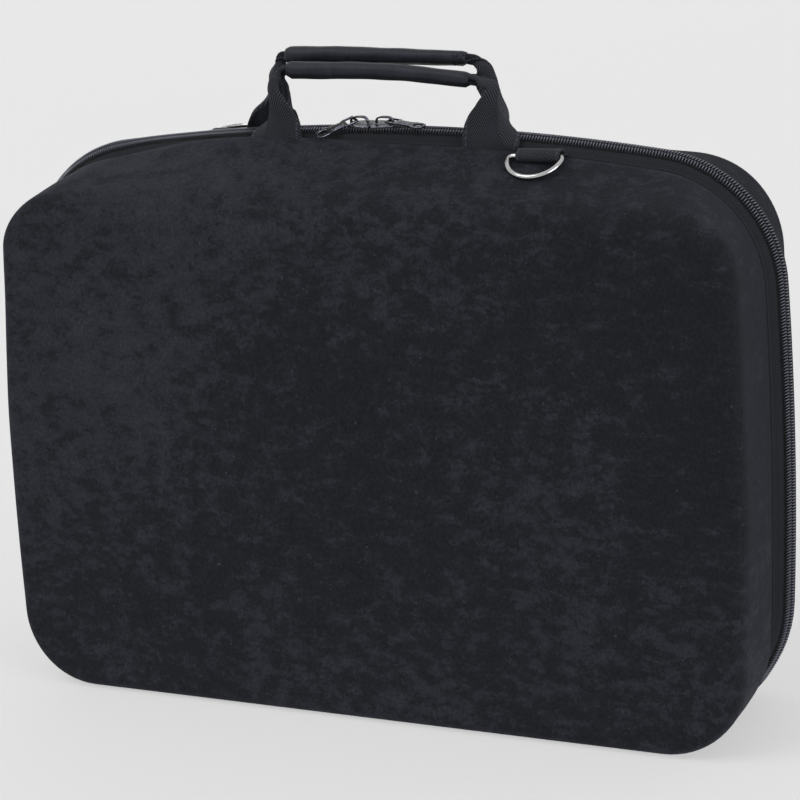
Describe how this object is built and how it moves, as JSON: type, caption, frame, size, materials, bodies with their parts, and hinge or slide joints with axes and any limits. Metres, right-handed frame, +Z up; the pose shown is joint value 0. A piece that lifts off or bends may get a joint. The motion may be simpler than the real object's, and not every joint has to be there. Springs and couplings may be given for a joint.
{
  "type": "console carrying bag",
  "caption": "Hard-shell clamshell carrying bag for a game console, in black velvet, with an arched zipper seam, webbing carry handles with rolled grips, and strap rings.",
  "frame": {"origin": "on the floor under the middle of the seam, bottom centre of the bounding box", "axes": "+X to the right along the zipper top, +Y from the front half to the rear half, +Z up"},
  "size_m": [0.4396, 0.112, 0.3516],
  "materials": {
    "velvet": "short crushed velvet pile bonded to moulded foam",
    "tape": "woven zipper tape",
    "coil": "nylon coil",
    "slider": "black gloss plated zinc",
    "webbing": "black woven webbing",
    "grip": "rolled imitation leather",
    "ring": "nickel plated steel wire",
    "net": "knitted net",
    "binding": "woven binding and elastic"
  },
  "bodies": {
    "rear_half": {"rear_shell": "velvet", "rear_zipper_tape": "tape", "rear_zipper_coil": "coil", "rear_handle_webbing": "webbing", "rear_handle_grip": "grip", "rear_ring_tab": "webbing", "hinge_strip": "binding", "left_hold_down_strap": "binding", "right_hold_down_strap": "binding"},
    "front_half": {"front_shell": "velvet", "front_zipper_tape": "tape", "front_zipper_coil": "coil", "front_handle_webbing": "webbing", "front_handle_grip": "grip", "front_ring_tab": "webbing", "mesh_pocket": "net", "pocket_binding": "binding"},
    "left_slider": {"left_slider": "slider"},
    "right_slider": {"right_slider": "slider"},
    "left_pull": {"left_pull": "slider"},
    "right_pull": {"right_pull": "slider"},
    "front_d_ring": {"front_d_ring": "ring"},
    "rear_d_ring": {"rear_d_ring": "ring"}
  },
  "joints": [
    {"name": "lid_hinge", "type": "hinge", "parent": "rear_half", "child": "front_half", "pos_m": [0, 0, 0], "axis": [1, 0, 0], "range_deg": [0, 175], "deforming": ["hinge_strip"]},
    {"name": "left_slider_travel", "type": "hinge", "parent": "front_half", "child": "left_slider", "pos_m": [0, 0, -0.85877], "axis": [0, -1, 0], "range_deg": [0, 5.5]},
    {"name": "right_slider_travel", "type": "hinge", "parent": "front_half", "child": "right_slider", "pos_m": [0, 0, -0.85877], "axis": [0, 1, 0], "range_deg": [0, 5.5]},
    {"name": "left_pull_swing", "type": "hinge", "parent": "left_slider", "child": "left_pull", "pos_m": [-0.01387, 0, 0.31531], "axis": [-0.4695, 0.8829, -0.0016], "range_deg": [0, 50]},
    {"name": "right_pull_swing", "type": "hinge", "parent": "right_slider", "child": "right_pull", "pos_m": [0.00583, 0, 0.31538], "axis": [-0.2588, -0.9659, -0.0009], "range_deg": [0, 45]},
    {"name": "front_ring_swing", "type": "hinge", "parent": "front_half", "child": "front_d_ring", "pos_m": [0.096, -0.01999, 0.30094], "axis": [-1, 0, 0], "range_deg": [0, 110]},
    {"name": "rear_ring_swing", "type": "hinge", "parent": "rear_half", "child": "rear_d_ring", "pos_m": [-0.096, 0.01904, 0.30454], "axis": [1, 0, 0], "range_deg": [0, 110]}
  ]
}
